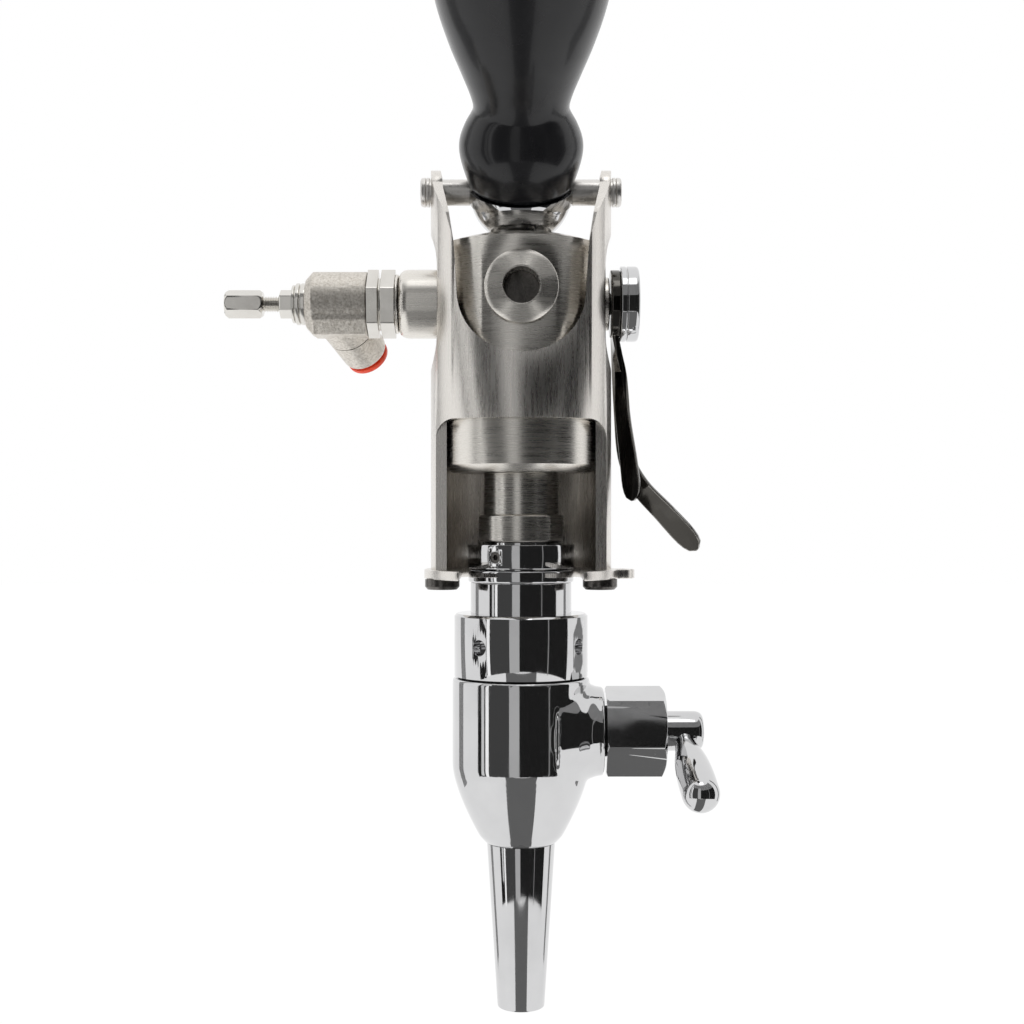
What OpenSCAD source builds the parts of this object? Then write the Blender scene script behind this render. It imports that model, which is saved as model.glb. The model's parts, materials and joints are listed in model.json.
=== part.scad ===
// Counter-pressure bottle filling tap: a stainless valve body inside a lifting yoke, with a turned
// handle on top, a gas inlet at the left, a finger lever at the right and a nozzle with a vent valve.
// The origin is on the end face of the rear tail, at the height of the side ports.

/* [Valve body] */
// Diameter of the valve body
body_d = 42.5; // [40:0.5:43]
// Height of the body's side edge above the port axis
body_top = 16; // [15:0.5:17]
// Depth of the body below the port axis
body_bottom = 46.8; // [44:0.2:48]
// Rise of the dome above the side edge
dome_rise = 3.6; // [3:0.1:4]
// Distance from the tower axis to the rear tail's end face
tail_reach = 44; // [40:1:60]
// Outer diameter of the rear tail
tail_d = 22.9; // [20:0.1:23.5]
// Diameter of the front boss
boss_d = 19.8; // [18:0.2:20.4]
// Height of the front boss above the port axis
boss_z = 2.1; // [1.5:0.1:4.5]

/* [Handle] */
// Height of the pivot pins above the port axis
pivot_z = 31; // [30.8:0.1:32]
// Forward lean of the handle at rest, in degrees
lean = 35; // [25:1:40]
// Length of the lacquered handle
handle_len = 148; // [120:1:160]
// Largest radius of the handle
handle_r = 26; // [22:0.5:28]
// Radius of the ball under the handle
ball_r = 14.2; // [13.5:0.1:14.5]
// Diameter of the pivot pins
pin_d = 7.2; // [6:0.2:7.6]
// Turn of the handle from rest to fully back, in degrees
handle_swing = 70; // [50:1:75]
// Lift of the yoke over the full turn of the handle
yoke_lift = 5; // [3:0.5:6]

/* [Yoke] */
// Outer diameter of the sheet sleeve
yoke_d = 50; // [49:0.5:51]
// Sheet thickness of the sleeve
yoke_wall = 2.7; // [2:0.1:2.8]
// Depth of the sleeve's foot below the port axis
yoke_bottom = 73.5; // [70:0.5:75]
// Width of the slots for the side ports
slot_w = 20; // [19.6:0.2:22]

/* [Gas inlet] */
// Diameter of the left port
stub_d = 19; // [18:0.2:19]
// Outer diameter of the hose that the red collet takes
hose_d = 8; // [6:1:8]
// Pitch of the adjusting screw's thread
screw_pitch = 0.7; // [0.5:0.1:1]

/* [Nozzle] */
// Outer diameter of the ring nut
nut_d = 37; // [34:0.5:38]
// Outer diameter of the nozzle body
nozzle_d = 38; // [36:0.5:40]
// Depth of the vent valve's axis below the port axis
vent_z = 118.5; // [116:0.5:119]
// Size across the flats of the vent nut
vent_af = 22; // [20:0.5:24]
// Depth of the spout's tip below the port axis
tip_z = 194.8; // [180:0.2:210]
// Diameter of the spout's tip
tip_d = 13; // [10:0.5:14]

/* [Hidden] */
$fn = 96;
body_r = body_d / 2;
crown_z = body_top + dome_rise;
yoke_r = yoke_d / 2;
yoke_in = yoke_r - yoke_wall;
pin_r = pin_d / 2;
run_gap = 0.05;
free_gap = 0.3;
cam_h = pivot_z - body_top - free_gap;
cam_k = yoke_lift / (handle_swing * PI / 180);
chamber_r = 9;
inlet_r = 7;
tube_r = 10.4;
cut_r = 17.3;
window_y = -9.3;
ear_top = pivot_z + 6;
pocket_r = 9.6;
nozzle_r = nozzle_d / 2;
nozzle_top = 103.4;
nozzle_end = 149.3;
branch_dir = [6.2, 14, -10];
branch_len = norm(branch_dir) + 3;
branch_start = [-52, 0, 0];
vent_dir = [3.2, -26, -15.5];
vent_lever_x = 44.5;
vent_nut_turn = 17.7;
union_nut_turn = 9.6;
spanner_angles = [-38, 58, 142, 238];
foot_x = 21.5;
lever_x = 26;
lever_t = 2.6;

// Everything is drawn around the tower axis and then set in front of the tail's end face
module at_tower() translate([0, -tail_reach, 0]) children();
// A rod along X from x0 to x1
module x_rod(x0, x1, r) translate([x0, 0, 0]) rotate([0, 90, 0]) cylinder(h = x1 - x0, r = r);
// A rod along Z from z0 to z1
module z_rod(z0, z1, r) translate([0, 0, z0]) cylinder(h = z1 - z0, r = r);
// A rod along Y from y0 to y1
module y_rod(y0, y1, r) translate([0, y0, 0]) rotate([-90, 0, 0]) cylinder(h = y1 - y0, r = r);
// A hexagon along X, measured across its flats
module x_hex(x0, x1, af) translate([x0, 0, 0]) rotate([0, 90, 0])
    cylinder(h = x1 - x0, r = af / sqrt(3), $fn = 6);
// A ring along Z
module z_ring(z0, z1, r_out, r_in) difference() {
    z_rod(z0, z1, r_out);
    z_rod(z0 - 1, z1 + 1, r_in);
}
// A ring along X
module x_ring(x0, x1, r_out, r_in) difference() {
    x_rod(x0, x1, r_out);
    x_rod(x0 - 1, x1 + 1, r_in);
}
// An O ring around Z
module o_ring(z, r, wire) translate([0, 0, z]) rotate_extrude() translate([r, 0]) circle(r = wire, $fn = 32);
// Turns +Z to the direction d
module along(d) rotate([0, acos(d[2] / norm(d)), atan2(d[1], d[0])]) children();
// A slot with round ends through the sleeve's side, along +X
module x_slot(z0, z1, w) {
    translate([0, -w / 2, z0 + w / 2]) cube([yoke_d, w, z1 - z0 - w]);
    translate([0, 0, z0 + w / 2]) x_rod(0, yoke_d, w / 2);
    translate([0, 0, z1 - w / 2]) x_rod(0, yoke_d, w / 2);
}
// The handle's leaning frame: its own +Z runs up the handle from the pivot
module on_handle() translate([0, 0, pivot_z]) rotate([lean, 0, 0]) children();

// --- Valve body ---
// Radius of the sphere that the dome is cut from, and the dome's height at the radius r
dome_sphere = (pow(body_r, 2) + pow(dome_rise, 2)) / (2 * dome_rise);
function dome_z(r) = crown_z - dome_sphere + sqrt(pow(dome_sphere, 2) - pow(r, 2));
module main_body() color("silver") at_tower() difference() {
    rotate_extrude() polygon([[0, -body_bottom], [body_r - 2, -body_bottom],
        [body_r, -body_bottom + 2], [body_r, body_top], [0, body_top]]);
    z_rod(-body_bottom - 1, 10, chamber_r);
    z_rod(-body_bottom - 1, -body_bottom + 10, tube_r);
    y_rod(0, body_r + 1, inlet_r);
    translate([0, 0, boss_z]) y_rod(-body_r - 1, 0, 4.8);
    x_rod(-body_r - 1, 0, 3);
    x_rod(0, body_r + 1, 3.05);
    // Flat seats for the ports, the tail and the boss
    x_rod(-body_r - 1, -19, stub_d / 2);
    x_rod(19, body_r + 1, 7.35);
    y_rod(18, body_r + 1, tail_d / 2);
    translate([0, 0, boss_z]) y_rod(-body_r - 1, -18.5, boss_d / 2);
}
module top_cap() color("silver") at_tower() difference() {
    rotate_extrude() polygon(concat([[0, body_top]],
        [for (r = [body_r:-body_r / 10:body_r / 10]) [r, dome_z(r)]], [[0, dome_z(body_r / 10)]]));
    // Pocket for the cam ball, longer at the back for the cam's lobe
    z_rod(body_top - 1, crown_z + 1, pocket_r);
    translate([-pocket_r, 0, body_top - 1]) cube([2 * pocket_r, 14.5, dome_rise + 2]);
}
module boss_ring() color("silver") at_tower() translate([0, 0, boss_z]) difference() {
    union() {
        y_rod(-21.8, -18.5, boss_d / 2);
        translate([0, -21.8, 0]) rotate([90, 0, 0]) cylinder(h = 2, r1 = boss_d / 2, r2 = 5.3);
    }
    y_rod(-25, -18, 4.8);
}
module front_screw() color("dimgray") at_tower() translate([0, 0, boss_z]) difference() {
    y_rod(-16.5, -10, 4.7);
    rotate([0, 74, 0]) translate([-5, -17, -0.6]) cube([10, 2, 1.2]);
}
module rear_tail() color("silver") at_tower() difference() {
    y_rod(18, tail_reach, tail_d / 2);
    y_rod(17, tail_reach + 1, inlet_r);
    translate([0, 24, 0]) rotate([-90, 0, 0]) rotate_extrude() translate([tail_d / 2 + 0.4, 1])
        circle(r = 1.3, $fn = 32);
}
module tail_o_ring() color("black") at_tower() translate([0, 25, 0]) rotate([-90, 0, 0])
    o_ring(0, tail_d / 2 + 0.4, 1.25);

// --- Gas inlet at the left ---
module left_stub() color("silver") at_tower() difference() {
    union() {
        x_rod(-30.4, -19, stub_d / 2);
        x_rod(-33.9, -30.4, stub_d / 2 - 3.5);
        translate([-30.4, 0, 0]) rotate([0, 90, 0]) rotate_extrude()
            translate([stub_d / 2 - 3.5, 0]) circle(r = 3.5, $fn = 48);
    }
    x_rod(-36, -18, 3);
}
module stub_ring() color("silver") at_tower() x_ring(-34.7, -33.9, 8.2, 3);
module union_nut() color("silver") at_tower() difference() {
    rotate([union_nut_turn, 0, 0]) {
        x_hex(-38.6, -34.7, 16.6);
        x_rod(-39.3, -38.6, 7.2);
        x_hex(-42.4, -39.3, 16.6);
    }
    x_rod(-43, -34, 3);
}
module fitting_body() color("silver") at_tower() difference() {
    union() {
        intersection() {
            x_hex(-58, -42.4, 18);
            x_rod(-58, -42.4, 9.8);
        }
        translate([-59.5, 0, 0]) rotate([0, 90, 0]) cylinder(h = 1.5, r1 = 7.6, r2 = 9);
        translate(branch_start) along(branch_dir) cylinder(h = 12, r = 7.4);
    }
    x_rod(-50, -42, 3);
    x_rod(-60, -52, 2.25);
    x_rod(-52.5, -48, 1.6);
    translate(branch_start) along(branch_dir) cylinder(h = 13, r = 3);
    // Room for the screwed-in branch and for the union nut
    translate(branch_start) along(branch_dir) translate([0, 0, 12]) cylinder(h = 12, r = 6.4);
    x_rod(-42.4, -36, 14);
}
module gland_rings() color("silver") at_tower() {
    x_ring(-61.1, -59.5, 5.7, 2.25);
    x_ring(-62, -61.1, 5.1, 2.25);
    x_ring(-63.3, -62, 5.7, 2.25);
}
module lock_nut() color("silver") at_tower() difference() {
    x_hex(-66.8, -63.3, 7);
    x_rod(-67, -63, 2.25);
}
module adjusting_screw() color("silver") at_tower() x_rod(-71.6, -54.5, 2.2);
module screw_cap() color("silver") at_tower() {
    x_hex(-81.4, -71.6, 6.8);
    translate([-82, 0, 0]) rotate([0, 90, 0]) cylinder(h = 0.6, r1 = 2.9, r2 = 3.4);
}
module needle() color("silver") at_tower() {
    x_rod(-54.2, -50.5, 1.5);
    translate([-50.5, 0, 0]) rotate([0, 90, 0]) cylinder(h = 2.5, r1 = 1.5, r2 = 0.3);
}
module branch() color("silver") at_tower() translate(branch_start) along(branch_dir) difference() {
    translate([0, 0, 12]) cylinder(h = branch_len - 12, r = 6.4);
    translate([0, 0, 11]) cylinder(h = 3, r = 3);
    translate([0, 0, 13.4]) cylinder(h = branch_len, r = hose_d / 2 + run_gap);
    translate([0, 0, branch_len - 4]) cylinder(h = 5, r = 5.3);
    translate([0, 0, 14.6]) cylinder(h = 1.8, r = 5.2);
}
module branch_o_ring() color("black") at_tower() translate(branch_start) along(branch_dir)
    o_ring(15.5, 4.6, 0.5);
module collet() color("red") at_tower() translate(branch_start) along(branch_dir) difference() {
    union() {
        translate([0, 0, branch_len - 2.8]) cylinder(h = 3.8, r = 5.2);
        translate([0, 0, branch_len + 1]) cylinder(h = 1.6, r = 6.2);
    }
    translate([0, 0, branch_len - 4]) cylinder(h = 8, r = hose_d / 2 + run_gap);
}

// --- Finger lever at the right ---
module right_hub() color("silver") at_tower() difference() {
    x_rod(19, 24.3, 7.35);
    x_rod(18, 26, 3.05);
}
module right_spindle() color("gray") at_tower() {
    x_rod(4, lever_x + 1.35, 3);
    translate([0, 0, -1.5]) x_rod(-3, 4, 3.5);
}
module right_cap() color("silver") at_tower() {
    x_rod(lever_x + 1.35, lever_x + 4.2, 10.4);
    translate([lever_x + 4.2, 0, 0]) rotate([0, 90, 0]) cylinder(h = 0.9, r1 = 10.4, r2 = 9.5);
}
// Middle lines of the lever's two blades in the front view, and their sheet thickness
down_blade = [[lever_x, 6], [lever_x, -11.5], [27.3, -20], [31.4, -55]];
out_blade = [[lever_x, 6], [lever_x, -11.5], [27.3, -20], [32, -48.5], [48.4, -67]];
function unit(v) = v / norm(v);
function side_of(path, i) = let (d = unit(path[max(i, 1)] - path[max(i, 1) - 1])) [-d[1], d[0]];
// Corner of the sheet on one side: where the offset edges of the two flats meet
function blade_corner(path, i, side) = let (n1 = side_of(path, i),
    n2 = side_of(path, min(i + 1, len(path) - 1)))
    path[i] + side * lever_t / 2 * (n1 + n2) / (1 + n1 * n2);
module blade(path, y0, y1) translate([0, y1, 0]) rotate([90, 0, 0]) linear_extrude(height = y1 - y0)
    polygon(concat([for (i = [0:len(path) - 1]) blade_corner(path, i, 1)],
        [for (i = [len(path) - 1:-1:0]) blade_corner(path, i, -1)]));
module finger_lever() color("silver") at_tower() difference() {
    union() {
        x_rod(lever_x - lever_t / 2, lever_x + lever_t / 2, 9.4);
        blade(down_blade, -3, 4);
        blade(out_blade, 4, 9);
    }
    x_rod(lever_x - 2, lever_x + 2, 3);
}

// --- Yoke ---
// What the sleeve keeps of its side view above the ports: an ear that narrows to the pivot pin
module ear_profile() {
    polygon([[-18.2, -2], [18.2, -2], [18.2, 4], [17.6, 14], [14.5, 23], [9.5, 29], [5.6, 33],
        [-5.6, 33], [-9.5, 29], [-14.5, 23], [-17.6, 14], [-18.2, 4]]);
    translate([0, pivot_z]) circle(r = 6);
}
// Front view of what the front and rear cut-outs take above their round floor
module cut_profile() polygon([[-cut_r, 0], [cut_r, 0], [18.3, 14], [19.6, 22], [21.4, 29.5], [21.8, 42],
    [-21.8, 42], [-21.4, 29.5], [-19.6, 22], [-18.3, 14]]);
module yoke() color("silver") at_tower() difference() {
    z_rod(-yoke_bottom, ear_top, yoke_r);
    z_rod(-yoke_bottom - 1, ear_top + 1, yoke_in);
    // Above the ports only the two ears stay
    difference() {
        translate([-yoke_r - 1, -yoke_r - 1, 2]) cube([yoke_d + 2, yoke_d + 2, ear_top]);
        rotate([90, 0, 90]) translate([0, 0, -yoke_r - 2])
            linear_extrude(height = yoke_d + 4) ear_profile();
    }
    // Front and rear cut-outs with round floors
    for (side = [-1, 1]) {
        y_from = side > 0 ? 0 : -yoke_r - 1;
        floor_z = side > 0 ? -19.5 : -15.6;
        translate([0, y_from + yoke_r + 1, floor_z + cut_r]) rotate([90, 0, 0])
            linear_extrude(height = yoke_r + 1) cut_profile();
        translate([0, 0, floor_z + cut_r]) y_rod(y_from, y_from + yoke_r + 1, cut_r);
    }
    // Lower front window with round top corners, open at the foot
    translate([-24, -yoke_r - 1, -yoke_bottom - 1]) cube([48, yoke_r + 1 + window_y, yoke_bottom - 36.7]);
    translate([-18.2, -yoke_r - 1, -42]) cube([36.4, yoke_r + 1 + window_y, 9.3]);
    for (x = [-18.2, 18.2]) translate([x, 0, -37.7]) y_rod(-yoke_r - 1, window_y, 5);
    // Slots for the ports
    x_slot(-19, 19, slot_w);
    mirror([1, 0, 0]) x_slot(-19, 19, slot_w);
    // Holes for the pivot pins
    translate([0, 0, pivot_z]) x_rod(-yoke_r - 1, yoke_r + 1, pin_r + run_gap);
}
module guard_ring() color("silver") at_tower() translate([0, 0, -yoke_bottom - 2.5]) difference() {
    union() {
        cylinder(h = 2.5, r = 26.8);
        translate([26.4, -1, 0]) cylinder(h = 2.5, r = 5);
    }
    translate([0, 0, -1]) cylinder(h = 5, r = 16.6);
    translate([-16.6, -yoke_r - 5, -1]) cube([33.2, yoke_r + 5, 5]);
    translate([27.6, -1, -1]) cylinder(h = 5, r = 1.8);
    for (x = [-foot_x, foot_x]) translate([x, -8, -1]) cylinder(h = 5, r = 2);
}
module guard_screws() color("dimgray") at_tower() for (x = [-foot_x, foot_x]) translate([x, -8, 0]) {
    translate([0, 0, -yoke_bottom - 5.3]) cylinder(h = 0.8, r1 = 4, r2 = 4.7);
    z_rod(-yoke_bottom - 4.5, -yoke_bottom - 2.5, 4.7);
    z_rod(-yoke_bottom - 2.5, -yoke_bottom, 2);
}

// --- Handle ---
// Side view of the lacquered handle, as [height along the handle, radius]
handle_outline = [[2, 14.2], [7, 15.9], [14, 16.9], [20, 15], [25, 13], [31, 14.6], [40, 18.4],
    [56, 23.5], [80, 26], [105, 25], [125, 22.4], [138, 18], [145, 11.5], [148, 0]];
function handle_point(i) = [handle_outline[i][1] * handle_r / 26,
    2 + (handle_outline[i][0] - 2) * (handle_len - 2) / 146];
module handle() color("black") at_tower() on_handle() difference() {
    rotate_extrude() polygon(concat([[0, 2]], [for (i = [0:13]) handle_point(i)]));
    z_rod(1, 31, 4);
    // Notches over the pivot pins
    x_rod(7, 20, pin_r + run_gap);
    x_rod(-20, -7, pin_r + run_gap);
}
module handle_stud() color("silver") at_tower() on_handle() z_rod(-5, 30.5, 4);
// Cam outline in the side view: its distance below the pin grows evenly as the handle turns
function cam_point(a) = (cam_h + cam_k * a * PI / 180) * [sin(a), -cos(a)] + cam_k * [cos(a), sin(a)];
module cam_outline() polygon(concat([[-22, 22], [-22, -cam_h]],
    [for (a = [0:5:handle_swing + 10]) cam_point(a)], [[cam_point(handle_swing + 10)[0], 22]]));
module cam_ball() color("silver") at_tower() translate([0, 0, pivot_z]) difference() {
    intersection() {
        union() {
            sphere(r = ball_r);
            rotate([lean, 0, 0]) z_rod(-1.8, 2, ball_r + 0.5);
            // The cam's lobe, at the back of the ball
            difference() {
                x_rod(-8, 8, cam_h + 6.3);
                translate([-9, -22, 3]) cube([18, 44, 20]);
                translate([-9, -22, -22]) cube([18, 22, 44]);
            }
        }
        rotate([90, 0, 90]) translate([0, 0, -20]) linear_extrude(height = 40) cam_outline();
        rotate([lean, 0, 0]) z_rod(-24, 2, 24);
    }
    for (side = [-1, 1]) translate([side * 13, 0, 0]) x_rod(-5, 5, pin_r);
    rotate([lean, 0, 0]) z_rod(-5, 3, 4);
}
module pivot_pins() color("silver") at_tower() translate([0, 0, pivot_z]) {
    x_rod(8, yoke_r + 0.3, pin_r);
    x_rod(-yoke_r - 0.3, -8, pin_r);
}
module pin_heads() color("silver") at_tower() translate([0, 0, pivot_z]) for (side = [0, 1])
    mirror([side, 0, 0]) {
        x_rod(yoke_r + 0.3, yoke_r + 2, pin_r + 0.5);
        translate([yoke_r + 2, 0, 0]) rotate([0, 90, 0])
            cylinder(h = 0.8, r1 = pin_r + 0.5, r2 = pin_r - 0.5);
    }

// --- Lower tube ---
module inner_tube() color("silver") at_tower() difference() {
    z_rod(-58.5, -body_bottom + 10, tube_r);
    z_rod(-60, -body_bottom + 7, 7);
    z_rod(-body_bottom, -body_bottom + 11, 2.05);
    // Ways for the beer around the spring's seat
    for (a = [45:90:315]) rotate([0, 0, a]) translate([6.8, 0, -body_bottom]) cylinder(h = 12, r = 1.5);
}
module guide_ring() color("silver") at_tower() z_ring(-65.9, -58.5, 11.75, 7);
module stop_collar() color("silver") at_tower() difference() {
    z_ring(-73.2, -66.6, 14.85, 10);
    rotate([0, 0, -29]) translate([0, 0, -70]) y_rod(-16, -9, 1.5);
}
module set_screw() color("dimgray") at_tower() rotate([0, 0, -29]) translate([0, 0, -70]) difference() {
    y_rod(-14.4, -10.2, 1.5);
    translate([0, -14.4, 0]) rotate([90, 0, 0]) translate([0, 0, -1.2]) cylinder(h = 2, r = 0.8, $fn = 6);
}
module band_seal() color("gray") at_tower() z_ring(-77.1, -73.6, 14.85, 10);
module outer_tube() color("silver") at_tower() difference() {
    union() {
        z_rod(-95, -77.1, 14);
        z_rod(-95, -65.9, 10);
    }
    z_rod(-96, -60, 7);
}

// --- Nozzle ---
module ring_nut() color("silver") at_tower() difference() {
    union() {
        z_rod(-103, -86.4, nut_d / 2);
        translate([0, 0, -86.4]) cylinder(h = 0.7, r1 = nut_d / 2, r2 = nut_d / 2 - 0.7);
    }
    z_rod(-95, -85, 14);
    z_rod(-99, -94, 7);
    z_rod(-104, -94, 3.4);
    for (a = spanner_angles) rotate([0, 0, a]) translate([0, 0, -94.3]) y_rod(-nut_d / 2 - 1, -15.6, 2.2);
}
module nozzle_seal() color("black") at_tower() z_ring(-nozzle_top, -103, nozzle_r - 1.4, 9);
// The bullet's lower half narrows along a power curve from the straight wall in to the spout
function bullet_r(t) = 10.4 + (nozzle_r - 10.4) * (1 - pow(t, 1.45));
module nozzle_shape() rotate_extrude() polygon(concat(
    [[0, -nozzle_end], [0, -nozzle_top], [nozzle_r - 0.4, -nozzle_top], [nozzle_r, -nozzle_top - 0.4]],
    [for (t = [0:0.1:1]) [bullet_r(t), -128 - (nozzle_end - 128) * t]]));
module nozzle_body() color("silver") at_tower() difference() {
    union() {
        nozzle_shape();
        translate([0, 0, -vent_z]) x_rod(0, 22.8, 12.2);
    }
    z_rod(-127, -nozzle_top + 1, 9);
    z_rod(-nozzle_end - 1, -126, 8);
    translate([0, 0, -vent_z]) x_rod(0, 24, 3);
    translate([0, 0, -vent_z]) x_rod(18, 24, 7);
}
module spout() color("silver") at_tower() difference() {
    union() {
        translate([0, 0, -tip_z]) cylinder(h = tip_z - nozzle_end, r1 = tip_d / 2, r2 = 9.45);
        z_rod(-nozzle_end, -130, 8);
    }
    translate([0, 0, -tip_z - 1]) cylinder(h = tip_z - 128, r1 = tip_d / 2 - 1.2, r2 = 6);
    translate([0, 0, -136]) rotate_extrude() translate([8.3, 0]) circle(r = 1, $fn = 32);
}
module spout_o_ring() color("black") at_tower() difference() {
    o_ring(-136, 8.2, 0.85);
    z_ring(-138, -134, 10, 8);
}

// --- Valve inside the tube ---
module valve_rod() color("gray") at_tower() {
    z_rod(-106.7, -8, 2);
    z_rod(-10, -8, 4.5);
    z_rod(-106.7, -104.7, 5);
}
module valve_seal() color("black") at_tower() z_ring(-104.7, -103.1, 5, 2);
// The spring's wire, swept along a helix from the rod's head down to the tube's top
module return_spring() color("gray") at_tower() polyhedron(points = spring_points, faces = spring_faces);
spring_turns = 9;
spring_sides = 8;
spring_rings = spring_turns * 14;
spring_z = [-36, -10.6];
function spring_point(i, k) = let (turn = 360 * spring_turns * i / spring_rings,
    ring = 3.9 + 0.55 * cos(360 * k / spring_sides))
    [ring * cos(turn), ring * sin(turn), spring_z[0] + (spring_z[1] - spring_z[0]) * i / spring_rings
        + 0.55 * sin(360 * k / spring_sides)];
spring_points = [for (i = [0:spring_rings]) for (k = [0:spring_sides - 1]) spring_point(i, k)];
function spring_at(i, k) = i * spring_sides + k % spring_sides;
spring_faces = concat(
    [[for (k = [0:spring_sides - 1]) k]],
    [for (i = [0:spring_rings - 1]) for (k = [0:spring_sides - 1])
        [spring_at(i, k), spring_at(i + 1, k), spring_at(i + 1, k + 1), spring_at(i, k + 1)]],
    [[for (k = [spring_sides - 1:-1:0]) spring_at(spring_rings, k)]]);

// --- Vent valve ---
module vent_nut() color("silver") at_tower() translate([0, 0, -vent_z]) difference() {
    intersection() {
        rotate([-vent_nut_turn, 0, 0]) x_hex(23.4, 39.8, vent_af);
        union() {
            x_rod(24.4, 38.4, 13.5);
            translate([38.4, 0, 0]) rotate([0, 90, 0]) cylinder(h = 1.4, r1 = 13.5, r2 = 10.8);
            translate([23.4, 0, 0]) rotate([0, 90, 0]) cylinder(h = 1, r1 = 11.8, r2 = 13.5);
        }
    }
    x_rod(23, 41, 5.55);
    x_rod(23, 26, 7);
}
module vent_seat() color("black") at_tower() translate([0, 0, -vent_z]) x_ring(18, 26, 7, 3);
module vent_stem() color("silver") at_tower() translate([0, 0, -vent_z]) {
    x_rod(26.3, 49, 5.5);
    translate([49, 0, 0]) rotate([0, 90, 0]) cylinder(h = 1.5, r1 = 5.5, r2 = 3.6);
    x_rod(18.5, 26.3, 2.9);
}
vent_lever_len = norm(vent_dir);
module vent_lever() color("silver") at_tower() translate([vent_lever_x, 0, -vent_z]) along(vent_dir)
    rotate_extrude() union() {
        polygon([[0, 5.8], [2.7, 5.8], [3.4, 9], [4.5, 14], [5, 19], [5.1, vent_lever_len - 4],
            [0, vent_lever_len - 4]]);
        intersection() {
            translate([0, vent_lever_len - 4]) circle(r = 5.1, $fn = 64);
            translate([0, vent_lever_len - 10]) square([10, 20]);
        }
    }

main_body();
top_cap();
boss_ring();
front_screw();
rear_tail();
tail_o_ring();
left_stub();
stub_ring();
union_nut();
fitting_body();
gland_rings();
lock_nut();
adjusting_screw();
screw_cap();
needle();
branch();
branch_o_ring();
collet();
right_hub();
right_spindle();
right_cap();
finger_lever();
yoke();
guard_ring();
guard_screws();
handle();
handle_stud();
cam_ball();
pivot_pins();
pin_heads();
inner_tube();
guide_ring();
stop_collar();
set_screw();
band_seal();
outer_tube();
ring_nut();
nozzle_seal();
nozzle_body();
spout();
spout_o_ring();
valve_rod();
valve_seal();
return_spring();
vent_nut();
vent_seat();
vent_stem();
vent_lever();
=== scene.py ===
"""Looks of the bottle filling tap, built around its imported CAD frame."""

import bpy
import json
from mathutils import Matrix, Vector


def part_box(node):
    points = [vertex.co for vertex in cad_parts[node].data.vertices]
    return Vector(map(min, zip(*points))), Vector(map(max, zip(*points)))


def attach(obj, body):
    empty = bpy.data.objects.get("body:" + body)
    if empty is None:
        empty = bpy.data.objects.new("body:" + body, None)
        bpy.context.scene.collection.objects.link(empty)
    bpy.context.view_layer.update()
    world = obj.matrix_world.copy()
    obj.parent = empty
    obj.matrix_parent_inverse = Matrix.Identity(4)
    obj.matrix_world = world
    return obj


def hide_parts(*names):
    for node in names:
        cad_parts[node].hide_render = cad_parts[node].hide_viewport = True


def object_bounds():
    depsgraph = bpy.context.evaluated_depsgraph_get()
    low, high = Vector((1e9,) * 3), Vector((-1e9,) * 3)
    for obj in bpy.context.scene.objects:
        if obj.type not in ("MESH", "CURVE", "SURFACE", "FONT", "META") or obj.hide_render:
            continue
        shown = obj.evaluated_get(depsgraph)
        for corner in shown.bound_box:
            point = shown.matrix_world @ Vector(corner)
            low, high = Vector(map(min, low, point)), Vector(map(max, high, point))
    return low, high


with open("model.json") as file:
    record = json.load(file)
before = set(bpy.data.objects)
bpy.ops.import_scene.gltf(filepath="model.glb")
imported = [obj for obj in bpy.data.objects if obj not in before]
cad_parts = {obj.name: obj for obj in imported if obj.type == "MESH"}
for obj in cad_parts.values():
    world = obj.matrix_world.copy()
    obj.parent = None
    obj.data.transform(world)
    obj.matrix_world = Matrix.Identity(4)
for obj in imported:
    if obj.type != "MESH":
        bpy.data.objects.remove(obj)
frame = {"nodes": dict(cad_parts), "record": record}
cad_low, cad_high = [list(corner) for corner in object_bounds()]

import json
import math

import bmesh
import bpy
from mathutils import Matrix, Vector

MM = 0.001
RECORD = frame["record"]
JOINTS = {joint["name"]: joint for joint in RECORD["behaviour"]["joints"]}
BODY_OF = {node: body for body, nodes in RECORD["behaviour"]["bodies"].items() for node in nodes}
SLOT_OF = {part["node"]: part["material_slot"] for part in RECORD["subparts"]}
body_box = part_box("main_body")
AXIS_Y = (body_box[0][1] + body_box[1][1]) / 2
PIVOT = Vector(JOINTS["handle_tilt"]["pos_m"])
VENT = Vector(JOINTS["vent_turn"]["pos_m"])


# --- Camera, light and floor ---
def set_camera():
    """A level camera in front of the tap, low enough for the handle's top to leave the frame."""
    distance, height, side = 0.444, -0.0577, -0.0025
    frame_px = 1024
    px_per_metre = 3600
    data = bpy.data.cameras.new("camera")
    data.sensor_width = 36
    data.lens = data.sensor_width * distance * px_per_metre / frame_px
    data.clip_start = 0.01
    bpy.context.scene.view_settings.view_transform = "Standard"
    camera = bpy.data.objects.new("camera", data)
    camera.location = (side, AXIS_Y - distance, height)
    camera.rotation_euler = (math.radians(90), 0, 0)
    bpy.context.scene.collection.objects.link(camera)
    bpy.context.scene.camera = camera


def set_world():
    """A plain pale world."""
    world = bpy.data.worlds.new("studio")
    bpy.context.scene.world = world
    world.use_nodes = True
    background = world.node_tree.nodes["Background"]
    background.inputs["Color"].default_value = (1, 1, 1, 1)
    background.inputs["Strength"].default_value = 1.0


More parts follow.
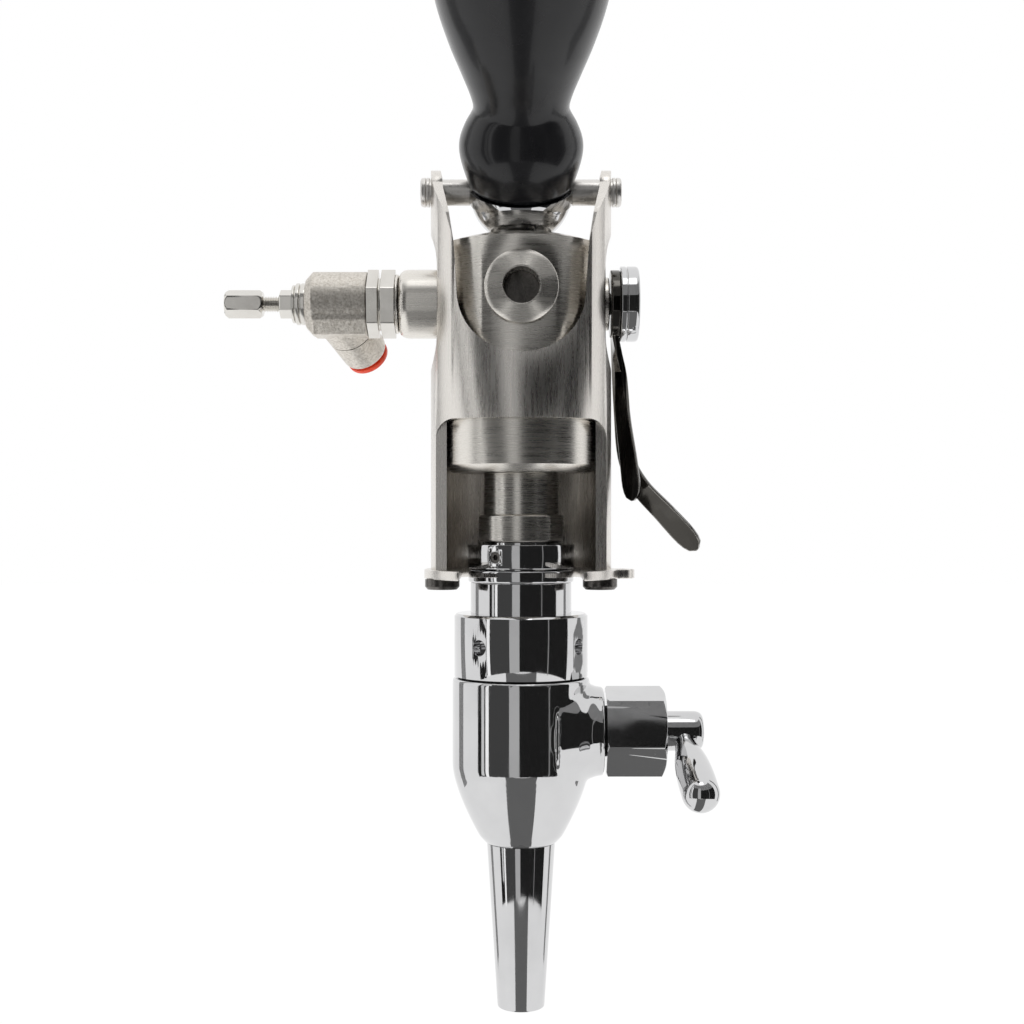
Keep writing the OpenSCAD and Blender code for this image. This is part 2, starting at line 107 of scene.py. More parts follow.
def softbox(name, azimuth, height, width, tall, glow, distance=0.62):
    """A rectangular lamp round the tower's axis: azimuth 0 is at the camera, +90 at the tap's +X."""
    data = bpy.data.lights.new(name, "AREA")
    data.shape = "RECTANGLE"
    data.size, data.size_y = width, tall
    data.energy = glow * math.pi * width * tall
    lamp = bpy.data.objects.new(name, data)
    turn = math.radians(azimuth)
    lamp.location = (distance * math.sin(turn), AXIS_Y - distance * math.cos(turn), height)
    target = Vector((0, AXIS_Y, height * 0.4))
    lamp.rotation_euler = (target - lamp.location).to_track_quat("-Z", "Y").to_euler()
    bpy.context.scene.collection.objects.link(lamp)


def flat_material(name, grey, glow=0.0, roughness=0.9):
    material = bpy.data.materials.new(name)
    material.use_nodes = True
    shader = material.node_tree.nodes["Principled BSDF"]
    shader.inputs["Base Color"].default_value = (grey, grey, grey, 1)
    shader.inputs["Roughness"].default_value = roughness
    shader.inputs["Specular IOR Level"].default_value = 0
    shader.inputs["Emission Color"].default_value = (1, 1, 1, 1)
    shader.inputs["Emission Strength"].default_value = glow
    return material


def stage_mesh(name, corners, faces, grey, only_reflected=False, glow=0.0):
    """A studio surface. One that is only reflected lights polished metal and isn't seen itself."""
    mesh = bpy.data.meshes.new(name)
    mesh.from_pydata(corners, [], faces)
    obj = bpy.data.objects.new(name, mesh)
    bpy.context.scene.collection.objects.link(obj)
    mesh.materials.append(flat_material(name, grey, glow))
    if only_reflected:
        obj.visible_camera = False
        obj.visible_diffuse = False
        obj.visible_shadow = False


def curved_card(name, radius, from_azimuth, to_azimuth, z0, z1, grey, glow=0.0, steps=24):
    """A card bent round the tower's axis, seen only in reflections."""
    corners = []
    for k in range(steps + 1):
        turn = math.radians(from_azimuth + (to_azimuth - from_azimuth) * k / steps)
        x, y = radius * math.sin(turn), AXIS_Y - radius * math.cos(turn)
        corners += [(x, y, z0), (x, y, z1)]
    faces = [(2 * k, 2 * k + 1, 2 * k + 3, 2 * k + 2) for k in range(steps)]
    stage_mesh(name, corners, faces, grey, True, glow)


def carpet_card(z, grey, steps=16):
    """A grey runner on the floor that narrows towards the tap, seen only in reflections."""
    near, far, slim, wide = AXIS_Y + 0.2, AXIS_Y - 0.78, 0.05, 0.4
    corners = []
    for k in range(steps + 1):
        share = k / steps
        half = slim + (wide - slim) * share ** 1.6
        y = near + (far - near) * share
        corners += [(-half, y, z), (half, y, z)]
    faces = [(2 * k, 2 * k + 1, 2 * k + 3, 2 * k + 2) for k in range(steps)]
    stage_mesh("carpet", corners, faces, grey, True)


def set_studio():
    floor_z = cad_low[2] - 0.25
    far = 8
    low, middle, high = floor_z + 0.02, 0.3, 1.1
    band_top = 0.5
    corners = [(x * far, y * far, floor_z) for x, y in ((-1, -1), (1, -1), (1, 1), (-1, 1))]
    stage_mesh("floor", corners, [(0, 1, 2, 3)], 0.93, glow=0.08)
    curved_card("room", 0.8, -76, 86, low, middle, 0.018)
    curved_card("room_top", 0.8, -76, 86, middle, high, 0.25)
    curved_card("band_middle", 0.78, -20, -3, low, band_top, 0, 0.55)
    curved_card("band_dim", 0.785, -54, -20, low, band_top, 0, 0.07)
    curved_card("band_left", 0.78, -61, -55, low, band_top, 0, 1.3)
    curved_card("band_right", 0.78, 46, 48, low, band_top, 0, 0.3)
    curved_card("left_flag", 0.7, -126, -112, -0.6, 0.6, 0.3)
    curved_card("right_flag", 0.7, 112, 122, -0.6, 0.6, 0.25)
    carpet_card(floor_z + 0.01, 0.16)
    softbox("key_left", -66, 0.1, 0.06, 0.9, 0.8)
    softbox("top", 10, 0.75, 0.3, 0.3, 1.5, 0.3)


set_camera()
set_world()
set_studio()


# --- Materials ---
class Nodes:
    """A small helper that builds one procedural material around a Principled shader."""

    def __init__(self, name, color, metallic=0.0, roughness=0.4):
        self.material = bpy.data.materials.new(name)
        self.material.use_nodes = True
        self.tree = self.material.node_tree
        self.shader = self.tree.nodes["Principled BSDF"]
        self.shader.inputs["Base Color"].default_value = (*color, 1)
        self.shader.inputs["Metallic"].default_value = metallic
        self.shader.inputs["Roughness"].default_value = roughness
        self.coords = self.tree.nodes.new("ShaderNodeTexCoord").outputs["Object"]

    def link(self, output, target):
        self.tree.links.new(output, target)

    def noise(self, scale, stretch=(1, 1, 1), detail=3.0, rough=0.55, turn=(0, 0, 0)):
        """Noise in object space, with scale in cells per metre before the stretch."""
        mapping = self.tree.nodes.new("ShaderNodeMapping")
        mapping.inputs["Scale"].default_value = stretch
        mapping.inputs["Rotation"].default_value = turn
        noise = self.tree.nodes.new("ShaderNodeTexNoise")
        noise.inputs["Scale"].default_value = scale
        noise.inputs["Detail"].default_value = detail
        noise.inputs["Roughness"].default_value = rough
        self.link(self.coords, mapping.inputs["Vector"])
        self.link(mapping.outputs[0], noise.inputs["Vector"])
        return noise.outputs["Fac"]

    def ramp(self, value, low, high, span=(0.3, 0.7)):
        """Maps a value over the span to grey levels, or to colours, from low to high."""
        ramp = self.tree.nodes.new("ShaderNodeValToRGB")
        for element, position, level in zip(ramp.color_ramp.elements, span, (low, high)):
            element.position = position
            element.color = (*level, 1) if isinstance(level, tuple) else (level, level, level, 1)
        self.link(value, ramp.inputs[0])
        return ramp.outputs[0]

    def mix(self, factor, a, b):
        node = self.tree.nodes.new("ShaderNodeMix")
        node.data_type = "RGBA"
        self.link(factor, node.inputs["Factor"])
        for socket, value in ((node.inputs[6], a), (node.inputs[7], b)):
            if isinstance(value, tuple):
                socket.default_value = (*value, 1)
            else:
                self.link(value, socket)
        return node.outputs[2]

    def edge(self, radius):
        """High on sharp corners, where edge highlights are painted."""
        bevel = self.tree.nodes.new("ShaderNodeBevel")
        bevel.samples = 4
        bevel.inputs["Radius"].default_value = radius
        geometry = self.tree.nodes.new("ShaderNodeNewGeometry")
        dot = self.tree.nodes.new("ShaderNodeVectorMath")
        dot.operation = "DOT_PRODUCT"
        self.link(bevel.outputs[0], dot.inputs[0])
        self.link(geometry.outputs["Normal"], dot.inputs[1])
        return self.ramp(dot.outputs["Value"], 1.0, 0.0, (0.8, 0.99))

    def bump(self, height, strength, distance, after=None):
        node = self.tree.nodes.new("ShaderNodeBump")
        node.inputs["Strength"].default_value = strength
        node.inputs["Distance"].default_value = distance
        self.link(height, node.inputs["Height"])
        if after is not None:
            self.link(after, node.inputs["Normal"])
        return node.outputs[0]

    def finish(self, color=None, roughness=None, normal=None):
        sockets = {"Base Color": color, "Roughness": roughness, "Normal": normal}
        for name, output in sockets.items():
            if output is not None:
                self.link(output, self.shader.inputs[name])
        return self.material


def brushed(name, color, dark, stretch, roughness, grain=0.2):
    """Brushed steel: long fine scratches along the axis with the small stretch, smudges and deeper marks."""
    n = Nodes(name, color, 1.0, roughness)
    fine = n.noise(1400, stretch, 5, 0.75)
    broad = n.noise(45, (1, 1, 1), 3)
    marks = n.ramp(n.noise(420, tuple(0.5 * s + 0.5 for s in stretch), 5, 0.8), 0.0, 1.0, (0.66, 0.74))
    colour = n.mix(n.ramp(fine, 0.0, 1.0, (0.2, 0.7)), dark, color)
    colour = n.mix(n.ramp(broad, 0.0, 0.3, (0.45, 0.8)), colour, dark)
    rough = n.mix(marks, n.ramp(fine, roughness - 0.05, roughness + 0.07), (roughness + 0.16,) * 3)
    normal = n.bump(fine, grain, 0.00003)
    return n.finish(colour, rough, n.bump(marks, 0.04, 0.00003, normal))


def chrome(name, color, dark, roughness=0.045):
    """Polished chrome with faint smudges, hairlines and a slight waviness."""
    n = Nodes(name, color, 1.0, roughness)
    smudge = n.noise(70, (1, 1, 1), 5, 0.6)
    hair = n.ramp(n.noise(520, (1, 1, 0.12), 4, 0.8), 0.0, 1.0, (0.66, 0.72))
    wave = n.noise(110, (1, 1, 1), 1, 0.4)
    colour = n.mix(n.ramp(smudge, 0.0, 0.5, (0.45, 0.8)), color, dark)
    rough = n.mix(hair, n.ramp(smudge, roughness, roughness + 0.09, (0.4, 0.8)), (roughness + 0.16,) * 3)
    return n.finish(colour, rough, n.bump(wave, 0.12, 0.00008))


def polished_lever():
    """Polished sheet coloured dark as a painted dark reflection, with light edges that are partly the grey
    cut edge and partly a painted edge highlight.
    """
    # painted dark reflection: this polished steel sheet is given near-black colours here and below
    n = Nodes("lever_steel", (0.1, 0.095, 0.09), 1.0, 0.12)
    smudge = n.noise(90, (1, 1, 1), 4, 0.6)
    grain = n.noise(1300, (1, 1, 0.15), 4, 0.7)
    colour = n.mix(n.ramp(smudge, 0.0, 1.0, (0.4, 0.75)), (0.07, 0.066, 0.06), (0.13, 0.125, 0.115))
    # painted edge highlight over the grey cut edge: sharp corners turn light
    colour = n.mix(n.edge(0.0005), colour, (0.62, 0.6, 0.56))
    return n.finish(colour, n.ramp(smudge, 0.08, 0.2, (0.4, 0.8)), n.bump(grain, 0.06, 0.00003))


def cast_nickel():
    """Nickel plate over a sandy casting, with painted edge highlights on its sharp corners."""
    n = Nodes("cast_nickel", (0.7, 0.66, 0.6), 1.0, 0.36)
    pits = n.noise(1500, (1, 1, 1), 5, 0.7)
    lumps = n.noise(420, (1, 1, 1), 3, 0.6)
    colour = n.mix(n.ramp(pits, 0.0, 1.0, (0.35, 0.6)), (0.5, 0.46, 0.4), (0.84, 0.8, 0.74))
    # painted edge highlight: sharp corners turn light
    colour = n.mix(n.edge(0.0006), colour, (0.86, 0.83, 0.78))
    normal = n.bump(lumps, 0.5, 0.0004)
    return n.finish(colour, n.ramp(pits, 0.28, 0.52), n.bump(pits, 0.55, 0.00022, normal))


def lacquer():
    """Deep black lacquer over turned wood: a soft gloss coat with faint turning waves and dust."""
    n = Nodes("black_lacquer", (0.006, 0.006, 0.007), 0.0, 0.24)
    n.shader.inputs["Specular IOR Level"].default_value = 0.25
    n.shader.inputs["Coat Weight"].default_value = 0.25
    n.shader.inputs["Coat Roughness"].default_value = 0.1
    grain = n.noise(240, (1, 1, 0.3), 4, 0.6)
    dust = n.ramp(n.noise(2600, (1, 1, 1), 2, 0.5), 0.0, 1.0, (0.72, 0.76))
    cloud = n.noise(35, (1, 1, 1), 3)
    colour = n.mix(grain, (0.004, 0.004, 0.005), (0.011, 0.011, 0.012))
    colour = n.mix(dust, colour, (0.035, 0.034, 0.033))
    return n.finish(colour, n.ramp(cloud, 0.2, 0.3), n.bump(grain, 0.05, 0.0001))


def rubber():
    n = Nodes("seal_rubber", (0.02, 0.02, 0.02), 0.0, 0.6)
    grain = n.noise(1800, (1, 1, 1), 4)
    colour = n.mix(grain, (0.012, 0.012, 0.012), (0.035, 0.034, 0.033))
    return n.finish(colour, n.ramp(grain, 0.5, 0.75), n.bump(grain, 0.3, 0.0001))


def red_plastic():
    n = Nodes("red_collet", (0.8, 0.06, 0.02), 0.0, 0.3)
    n.shader.inputs["Subsurface Weight"].default_value = 0.08
    n.shader.inputs["Subsurface Radius"].default_value = (0.002, 0.0006, 0.0004)
    grain = n.noise(900, (1, 1, 1), 3)
    colour = n.mix(grain, (0.72, 0.035, 0.012), (0.9, 0.1, 0.035))
    return n.finish(colour, n.ramp(grain, 0.24, 0.4), n.bump(grain, 0.12, 0.0001))


MATERIALS = {
    "brushed_body": brushed("brushed_body", (0.84, 0.81, 0.76), (0.72, 0.69, 0.64), (0.05, 0.05, 1.6), 0.27),
    "yoke_sheet": brushed("yoke_sheet", (0.82, 0.79, 0.75), (0.7, 0.67, 0.63), (1.3, 1.3, 0.07), 0.27),
    "pin_steel": brushed("pin_steel", (0.80, 0.78, 0.75), (0.68, 0.66, 0.63), (1.5, 0.1, 0.1), 0.3),
    # painted shade: the screw deep in its hole is coloured dark so the hole reads black
    "dark_screw": brushed("dark_screw", (0.2, 0.19, 0.18), (0.08, 0.075, 0.07), (1, 1, 1), 0.3),
    "lever_steel": polished_lever(),
    "cast_nickel": cast_nickel(),
    "bright_nickel": chrome("bright_nickel", (0.74, 0.72, 0.68), (0.55, 0.52, 0.48), 0.14),
    "chrome_plate": chrome("chrome_plate", (0.64, 0.64, 0.645), (0.54, 0.54, 0.545), 0.03),
    "red_collet": red_plastic(),
    "seal_rubber": rubber(),
    "black_lacquer": lacquer(),
}


def paint_node(node):
    """Gives a carried-over CAD node its finish and small rounded edges."""
    obj = frame["nodes"][node]
    material = MATERIALS[SLOT_OF[node]]
    for material_slot in obj.material_slots:
        material_slot.material = material
    weld = obj.modifiers.new("weld", "WELD")
    weld.merge_threshold = 0.000002
    bevel = obj.modifiers.new("bevel", "BEVEL")
    bevel.width = 0.00025
    bevel.segments = 2
    bevel.limit_method = "ANGLE"
    bevel.angle_limit = math.radians(35)


# --- Mesh building, in millimetres around the tower's axis ---
TOWER = Matrix.Translation((0, AXIS_Y, 0)) @ Matrix.Scale(MM, 4)
ALONG_X = TOWER @ Matrix.Rotation(math.radians(90), 4, "Y")


def frame_along(start, direction):
    """A frame at start, in tower millimetres, whose own Z runs along the direction."""
    turn = Vector(direction).to_track_quat("Z", "Y").to_matrix().to_4x4()
    return TOWER @ Matrix.Translation(start) @ turn


def rounded(points, steps=5):
    """The outline with each (a, b, radius) corner turned into an arc of that radius."""
    out = []
    last = len(points) - 1
    for i, (a, b, radius) in enumerate(points):
        here = Vector((a, b))
        if radius <= 0 or i in (0, last):
            out.append((a, b))
            continue
        to_prev = (Vector(points[i - 1][:2]) - here)
        to_next = (Vector(points[i + 1][:2]) - here)
        half = to_prev.angle(to_next) / 2
        reach = min(radius / math.tan(half), to_prev.length * 0.49, to_next.length * 0.49)
        start = here + to_prev.normalized() * reach
        end = here + to_next.normalized() * reach
        for k in range(steps + 1):
            t = k / steps
            out.append(tuple((1 - t) ** 2 * start + 2 * t * (1 - t) * here + t ** 2 * end))
    return out


def add_object(bm, name, node=None, smooth_angle=40):
    """Turns a bmesh into a finished piece that stands for the CAD node and rides on its body."""
    mesh = bpy.data.meshes.new(name)
    bmesh.ops.recalc_face_normals(bm, faces=bm.faces)
    bm.to_mesh(mesh)
    bm.free()
    mesh.shade_smooth()
    mesh.set_sharp_from_angle(angle=math.radians(smooth_angle))
    obj = bpy.data.objects.new(name, mesh)
    bpy.context.scene.collection.objects.link(obj)
    if node:
        mesh.materials.append(MATERIALS[SLOT_OF[node]])
        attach(obj, BODY_OF[node])
        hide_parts(node)
    return obj


def spin(bm, outline, place, segments=128):
    """Adds a turned solid: the outline of (radius, height) points, closed if it ends where it starts."""
    rings = []
    for r, h in outline:
        if r < 1e-6:
            rings.append([bm.verts.new(place @ Vector((0, 0, h)))])
            continue
        rings.append([bm.verts.new(place @ Vector((r * math.cos(t), r * math.sin(t), h)))
                      for t in (2 * math.pi * k / segments for k in range(segments))])
    for low_ring, high_ring in zip(rings, rings[1:]):
        for k in range(segments):
            n = (k + 1) % segments
            corners = [low_ring[k % len(low_ring)], low_ring[n % len(low_ring)],
                       high_ring[n % len(high_ring)], high_ring[k % len(high_ring)]]
            corners = list(dict.fromkeys(corners))
            if len(corners) > 2:
                bm.faces.new(corners)
    if outline[0] == outline[-1]:
        bmesh.ops.remove_doubles(bm, verts=bm.verts, dist=1e-8)


def lathe(node, points, place=TOWER, steps=5, segments=128, smooth_angle=40):
    """A turned piece with rounded corners in place of a CAD node."""
    bm = bmesh.new()
    spin(bm, rounded(points, steps), place, segments)
    return add_object(bm, node + "_turned", node, smooth_angle)


def pipe_points(z0, z1, r_out, r_in, edge):
    """A closed ring outline from z0 to z1 with rounded outer edges."""
    middle = (z0 + z1) / 2
    return [(r_in, middle, 0), (r_in, z0, edge / 2), (r_out, z0, edge), (r_out, z1, edge),
            (r_in, z1, edge / 2), (r_in, middle, 0)]


def smooth_curve(points, per_span=8):
    """A Catmull-Rom curve through the points."""
    ends = [points[0]] + list(points) + [points[-1]]
    out = []
    for i in range(1, len(ends) - 2):
        p0, p1, p2, p3 = (Vector(p) for p in ends[i - 1:i + 3])
        for k in range(per_span):
            t = k / per_span
            out.append(tuple(0.5 * (2 * p1 + (p2 - p0) * t + (2 * p0 - 5 * p1 + 4 * p2 - p3) * t ** 2
                                    + (3 * p1 - p0 - 3 * p2 + p3) * t ** 3)))
    out.append(tuple(points[-1]))
    return out


def melt(obj, voxel, repeats):
    """Joins a piece's overlapping solids into one skin with soft inner corners, and applies it."""
    remesh = obj.modifiers.new("remesh", "REMESH")
    remesh.mode = "VOXEL"
    remesh.voxel_size = voxel
    smooth = obj.modifiers.new("smooth", "SMOOTH")
    smooth.factor = 0.5
    smooth.iterations = repeats
    bpy.context.view_layer.objects.active = obj
    for modifier in ("remesh", "smooth"):
        bpy.ops.object.modifier_apply(modifier=modifier)
    obj.data.shade_smooth()


def lean_frame():
    """The handle's own frame: its Z runs up the handle from the pivot."""
    lean = 35
    return Matrix.Translation(PIVOT) @ Matrix.Rotation(math.radians(lean), 4, "X") @ Matrix.Scale(MM, 4)


def make_handle():
    outline = [(12.2, 2.0), (13.9, 2.6), (15.4, 6.0), (16.8, 11.5), (16.8, 15.5), (15.4, 19.5), (13.4, 23.2),
               (13.0, 25.4), (13.9, 29), (16.2, 35), (19.3, 43), (22.3, 53), (24.6, 66), (25.8, 80),
               (25.9, 95), (25.1, 109), (23.2, 123), (20.0, 135), (14.5, 143.5), (7.5, 147.3), (0, 148)]
    bm = bmesh.new()
    spin(bm, [(0, 2.0)] + smooth_curve(outline, 6), lean_frame(), 160)
    add_object(bm, "handle_turned", "handle", 50)


def make_tower_rings():
    """The turned parts of the centre stack."""
    lathe("guide_ring", pipe_points(-65.9, -58.5, 11.75, 7, 0.6))
    lathe("inner_tube", [(7, -58.5, 0), (10.4, -58.5, 0.2), (10.4, -46.9, 0.2), (7, -46.9, 0), (7, -58.5, 0)])
    lathe("band_seal", pipe_points(-77.1, -73.6, 14.6, 10, 0.7))
    lathe("outer_tube", [(7, -80, 0), (7, -95, 0), (14, -95, 0), (14, -77.1, 0.3), (10, -77.1, 0),
                         (10, -65.9, 0.3), (7, -65.9, 0), (7, -80, 0)])


def make_spout():
    tip, top = -194.8, -149.3
    points = [(5.3, tip + 3, 0), (5.3, tip, 0.4), (6.5, tip, 0.6), (9.45, top, 0.1), (8, top, 0.1),
              (8, -130, 0.3), (6, -130, 0.3), (5.3, tip + 3, 0)]
    lathe("spout", points)


def make_nozzle():
    """The bullet with its blended vent boss."""
    bm = bmesh.new()
    side = [(19.0, -103.4, 0.8), (19.0, -128.0, 0)]
    bullet = [(10.4 + 8.6 * (1 - (k / 10) ** 1.45), -128.0 - 21.3 * k / 10, 0) for k in range(1, 11)]
    outer = [(10, -112, 0), (10, -103.4, 0.2)] + side + bullet[:-1] + [(9.7, -149.3, 0.8), (0, -149.3, 0)]
    spin(bm, rounded([(0, -112, 0)] + outer), TOWER, 160)
    vent = TOWER @ Matrix.Translation((0, 0, VENT.z / MM)) @ Matrix.Rotation(math.radians(90), 4, "Y")
    boss = [(0, 2, 0), (18.5, 10, 0), (15.4, 15.6, 2), (13.2, 18.6, 2), (12.3, 21.2, 1),
            (12.3, 22.8, 0.5), (0, 22.8, 0)]
    spin(bm, rounded(boss), vent, 128)
    obj = add_object(bm, "nozzle_skin", "nozzle_body", 60)
    melt(obj, 0.0004, 14)


def make_fitting():
    """The cast tee of the gas inlet: round above, with a flat-sided foot and its slanting branch."""
    bm = bmesh.new()
    shell = [(0, -59.5, 0), (6.7, -59.5, 0.2), (8.9, -57.5, 0.3), (8.9, -42.5, 0.2), (0, -42.5, 0)]
    spin(bm, rounded(shell), ALONG_X, 96)
    section = [(-8.6, 0), (-7.9, -5.2), (-5.2, -9.0), (5.2, -9.0), (7.9, -5.2), (8.6, 0), (0, 4)]
    rings = []
    for x, shrink in ((-59.2, 0.72), (-57.2, 1), (-42.5, 1)):
        rings.append([bm.verts.new(TOWER @ Vector((x, y * shrink, z * shrink))) for y, z in section])
    bm.faces.new(rings[0])
    bm.faces.new(list(reversed(rings[-1])))
    for low_ring, high_ring in zip(rings, rings[1:]):
        for k in range(len(section)):
            n = (k + 1) % len(section)
            bm.faces.new([low_ring[k], high_ring[k], high_ring[n], low_ring[n]])
    spin(bm, rounded([(0, 0, 0), (7.9, 0, 0), (7.0, 11.9, 0.2), (0, 11.9, 0)]), BRANCH, 96)
    obj = add_object(bm, "fitting_cast", "fitting_body", 60)
    melt(obj, 0.00022, 2)


BRANCH_WAY = (6.2, 14, -10)
BRANCH_LENGTH = Vector(BRANCH_WAY).length + 3
BRANCH = frame_along((-52, 0, 0), BRANCH_WAY)


def make_branch():
    end = BRANCH_LENGTH
    lathe("branch", [(5.3, 14, 0), (5.3, 12, 0), (7.0, 12, 0.1), (6.5, end - 1, 0.2), (6.35, end, 0.5),
                     (5.3, end, 0.2), (5.3, 14, 0)], BRANCH)
    lathe("collet", [(4.05, end, 0), (4.05, end - 2.8, 0.3), (5.2, end - 2.8, 0.3), (5.2, end + 1, 0.2),
                     (6.15, end + 1, 0.4), (6.1, end + 2.6, 0.7), (4.05, end + 2.6, 0.5), (4.05, end, 0)],
          BRANCH)


def make_adjuster():
    """The threaded rod as a real helix, and its long hexagonal cap."""
    bm = bmesh.new()
    pitch, r_out, depth, turn_steps = 0.7, 2.2, 0.42, 48
    start, end = -72.0, -62.0
    count = int((end - start) / pitch * 12)
    rings = []
    for i in range(count + 1):
        x = start + (end - start) * i / count
        ring = []
        for k in range(turn_steps):
            angle = 2 * math.pi * k / turn_steps
            phase = ((x - start) / pitch - k / turn_steps) % 1
            r = r_out - depth * min(1, max(0, 2 * abs(phase - 0.5) * 1.3 - 0.1))
            ring.append(bm.verts.new(TOWER @ Vector((x, r * math.cos(angle), r * math.sin(angle)))))
        rings.append(ring)
    for a, b in zip(rings, rings[1:]):
        for k in range(turn_steps):
            n = (k + 1) % turn_steps
            bm.faces.new([a[k], a[n], b[n], b[k]])
    bm.faces.new(list(reversed(rings[0])))
    bm.faces.new(rings[-1])
    spin(bm, rounded([(0, -62.2, 0), (2.1, -62.2, 0), (2.1, -54.5, 0.3), (0, -54.5, 0)]), ALONG_X, 48)
    add_object(bm, "adjusting_screw_cut", "adjusting_screw", 25)
    bm = bmesh.new()
    hex_nut(bm, -82, -71.6, 6.8, 0.9, 0)
    add_object(bm, "screw_cap_hexagon", "screw_cap", 25)


def hex_nut(bm, x0, x1, flats, chamfer, turn, steps=12):
    """Adds a hexagon along X whose two ends are chamfered by a cone."""
    corner = flats / math.sqrt(3)
    side_steps = 16
    # How far in from an end the cone has risen to the corner radius
    spans = [0.0] + [chamfer * (k / steps) ** 1.3 for k in range(1, steps + 1)]
    stations = [(x0 + d, d) for d in spans] + [(x1 - d, d) for d in reversed(spans)]
    rings = []
    for x, depth in stations:
        cap = flats / 2 * 0.96 + (corner - flats / 2 * 0.96) * min(1, depth / chamfer)
        ring = []
        for k in range(6 * side_steps):
            angle = 2 * math.pi * k / (6 * side_steps)
            inside = (angle % (math.pi / 3)) - math.pi / 6
            r = min(flats / 2 / math.cos(inside), cap)
            around = angle + math.radians(turn) + math.pi / 2 + math.pi / 3
            ring.append(bm.verts.new(TOWER @ Vector((x, r * math.cos(around), r * math.sin(around)))))
        rings.append(ring)
    for a, b in zip(rings, rings[1:]):
        for k in range(len(a)):
            n = (k + 1) % len(a)
            bm.faces.new([a[k], a[n], b[n], b[k]])
    bm.faces.new(list(reversed(rings[0])))
    bm.faces.new(rings[-1])


def make_vent():
    vent = TOWER @ Matrix.Translation((0, 0, VENT.z / MM))
    across = vent @ Matrix.Rotation(math.radians(90), 4, "Y")
    lathe("vent_stem", [(0, 18.5, 0), (2.9, 18.5, 0.2), (2.9, 26.3, 0.1), (5.5, 26.3, 0.2), (5.5, 50.5, 3.2),
                        (0, 50.5, 0)], across, 8)
    way = Vector((3.2, -26, -15.5))
    length = way.length
    place = vent @ Matrix.Translation((44.5, 0, 0)) @ way.to_track_quat("Z", "Y").to_matrix().to_4x4()
    bm = bmesh.new()
    drop = [(2.9, 3.0), (2.8, 5.5), (3.3, 8.2), (4.2, 12), (4.8, 16), (5.1, 21), (5.1, length - 4)]
    turns = [math.pi / 2 * k / 12 for k in range(1, 13)]
    ball = [(5.1 * math.cos(t), length - 4 + 5.1 * math.sin(t)) for t in turns]
    spin(bm, [(0, 3.0)] + smooth_curve(drop, 5) + ball[:-1] + [(0, length + 1.1)], place, 96)
    add_object(bm, "vent_lever_turned", "vent_lever", 50)


SHEET_SECTION = ((-0.5, -0.38), (-0.47, -0.5), (0.47, -0.5), (0.5, -0.38),
                 (0.5, 0.38), (0.47, 0.5), (-0.47, 0.5), (-0.5, 0.38))


def blade_sheet(bm, spine, widths, thickness):
    """Adds a bent sheet along the spine: at each (x, y, z, turn) point a cross bar of that width."""
    rows = []
    points = [Vector(p[:3]) for p in spine]
    for i, (point, width) in enumerate(zip(points, widths)):
        ahead = points[min(i + 1, len(points) - 1)] - points[max(i - 1, 0)]
        turn = math.radians(spine[i][3])
        across = Vector((math.sin(turn), math.cos(turn), 0))
        normal = ahead.cross(across).normalized()
        across = normal.cross(ahead).normalized()
        row = []
        for offset, lift in SHEET_SECTION:
            row.append(bm.verts.new(TOWER @ (point + across * offset * width + normal * lift * thickness)))
        rows.append(row)
    for a, b in zip(rows, rows[1:]):
        for k in range(len(a)):
            n = (k + 1) % len(a)
            bm.faces.new([a[k], b[k], b[n], a[n]])
    bm.faces.new(rows[0])
    bm.faces.new(list(reversed(rows[-1])))


def round_end(count, tip):
    """Widths that close the last part of a blade in a half round, as shares of its width."""
    return [math.sqrt(max(0.0, 1 - max(0.0, (i / (count - 1) - 1 + tip) / tip) ** 2)) for i in range(count)]


LEVER_X = 26


def make_finger_lever():
    """The eye, the straight blade and the thumb blade behind it."""
    bm = bmesh.new()
    low, high = LEVER_X - 1.3, LEVER_X + 1.3
    eye = [(3, LEVER_X, 0), (3, low, 0.2), (9.4, low, 0.4), (9.4, high, 0.4), (3, high, 0.2), (3, LEVER_X, 0)]
    spin(bm, rounded(eye), ALONG_X, 96)
    down = smooth_curve([(26.0, 0, -4, 180), (26.1, 0, -9, 180), (26.9, 0.3, -14, 172), (27.8, 0.8, -20, 150),
                         (28.4, 1.0, -31, 120), (29.9, 1.0, -43, 115), (31.2, 0.8, -54.6, 112)], 7)
    down_width = smooth_curve([(w, 0) for w in (8, 6, 4.0, 3.6, 4.0, 4.8, 5.4)], 7)
    shares = round_end(len(down), 0.1)
    blade_sheet(bm, down, [max(0.12, s) * w[0] for s, w in zip(shares, down_width)], 1.8)
    out = smooth_curve([(26.0, 3, -5, 180), (26.6, 4, -14, 170), (27.8, 5.5, -28, 150), (29.6, 6.5, -42, 130),
                        (33.6, 7.2, -50.4, 110), (40.8, 7.4, -58.2, 108), (50.0, 7.2, -68.2, 108)], 7)
    out_width = smooth_curve([(w, 0) for w in (5, 4, 4, 4.8, 5.4, 6.0, 6.6)], 7)
    shares = round_end(len(out), 0.1)
    blade_sheet(bm, out, [max(0.12, s) * w[0] for s, w in zip(shares, out_width)], 1.8)
    add_object(bm, "finger_lever_bent", "finger_lever", 40)


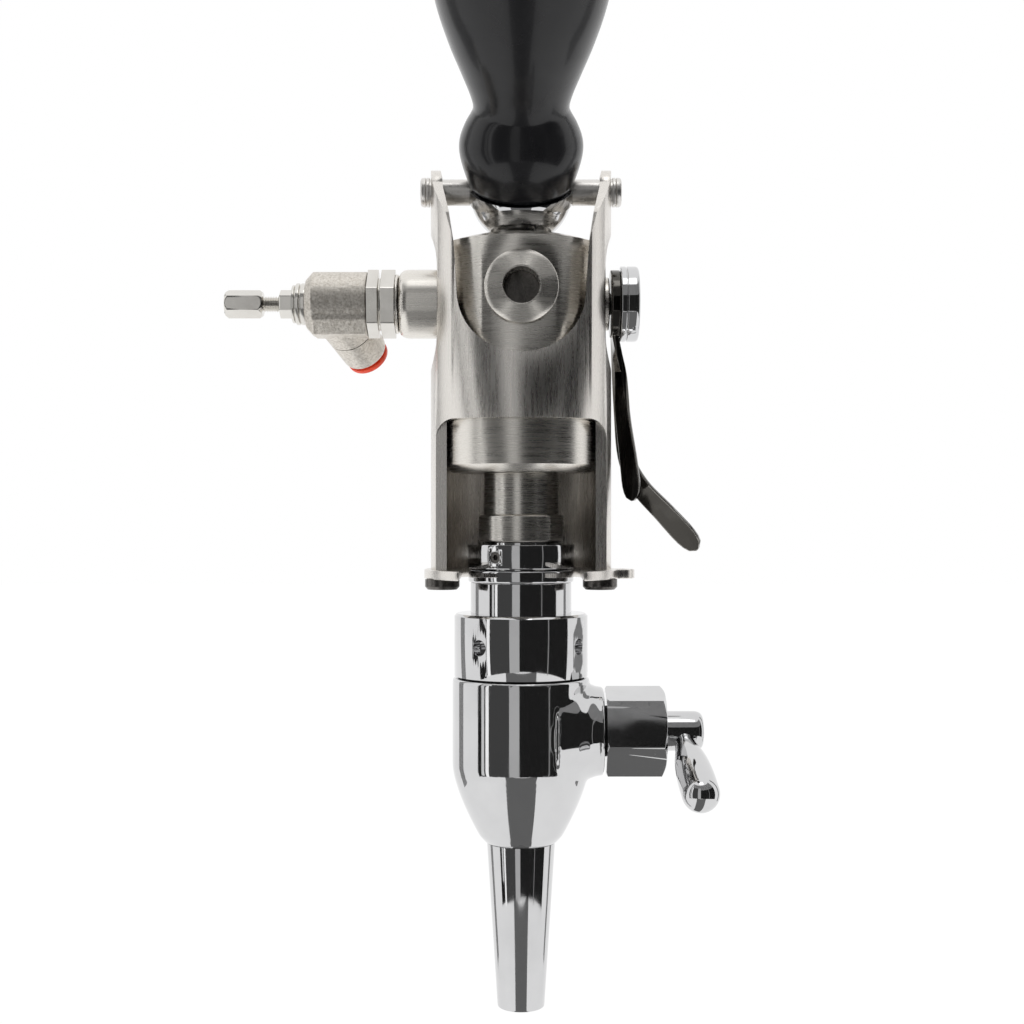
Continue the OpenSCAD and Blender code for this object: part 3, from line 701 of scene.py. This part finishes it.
def make_right_cap():
    start = LEVER_X + 1.35
    lathe("right_cap", [(0, start, 0), (10.4, start, 0.3), (10.4, start + 1.5, 0.2), (10.15, start + 1.6, 0),
                        (10.15, start + 1.8, 0), (10.4, start + 1.9, 0.2), (10.4, start + 5.1, 1.1),
                        (0, start + 5.1, 0)], ALONG_X)
    lathe("right_hub", [(3.05, 22, 0), (3.05, 19, 0), (7.35, 19, 0), (7.35, 24.3, 0.5), (3.05, 24.3, 0.2),
                        (3.05, 22, 0)], ALONG_X)


def make_pins():
    """Shouldered pins and their retaining heads, both sides in one piece each."""
    place = Matrix.Translation(PIVOT) @ Matrix.Scale(MM, 4) @ Matrix.Rotation(math.radians(90), 4, "Y")
    for node, points in (("pivot_pins", [(0, 8, 0), (3.6, 8, 0), (3.6, 25.3, 0), (0, 25.3, 0)]),
                         ("pin_heads", [(0, 25.3, 0), (4.05, 25.3, 0.2), (4.05, 26.1, 0.15),
                                        (3.6, 26.25, 0.1), (4.1, 26.4, 0.2), (3.9, 27.8, 0.8),
                                        (0, 27.8, 0)])):
        bm = bmesh.new()
        spin(bm, rounded(points), place, 64)
        spin(bm, rounded(points), Matrix.Translation(PIVOT) @ Matrix.Scale(-1, 4, (1, 0, 0))
             @ Matrix.Translation(-PIVOT) @ place, 64)
        add_object(bm, node + "_turned", node)


def make_left_stub():
    lathe("left_stub", [(3, -25, 0), (3, -33.9, 0.2), (9.5, -33.9, 3.4), (9.5, -19, 0), (3, -19, 0),
                        (3, -25, 0)], ALONG_X, 10)
    rings = [(2.25, -61, 0), (2.25, -63.3, 0), (5.3, -63.3, 0.2), (5.3, -62.6, 0.1), (4.7, -62.5, 0),
             (4.7, -62.3, 0), (5.8, -62.2, 0.2), (5.8, -61.2, 0.2), (5.0, -61.1, 0), (5.0, -60.9, 0),
             (5.8, -60.8, 0.2), (5.8, -59.5, 0.2), (2.25, -59.5, 0), (2.25, -61, 0)]
    lathe("gland_rings", rings, ALONG_X)


make_handle()
make_tower_rings()
make_spout()
make_nozzle()
make_fitting()
make_branch()
make_adjuster()
make_vent()
make_finger_lever()
make_right_cap()
make_pins()
make_left_stub()
for node in frame["nodes"]:
    paint_node(node)
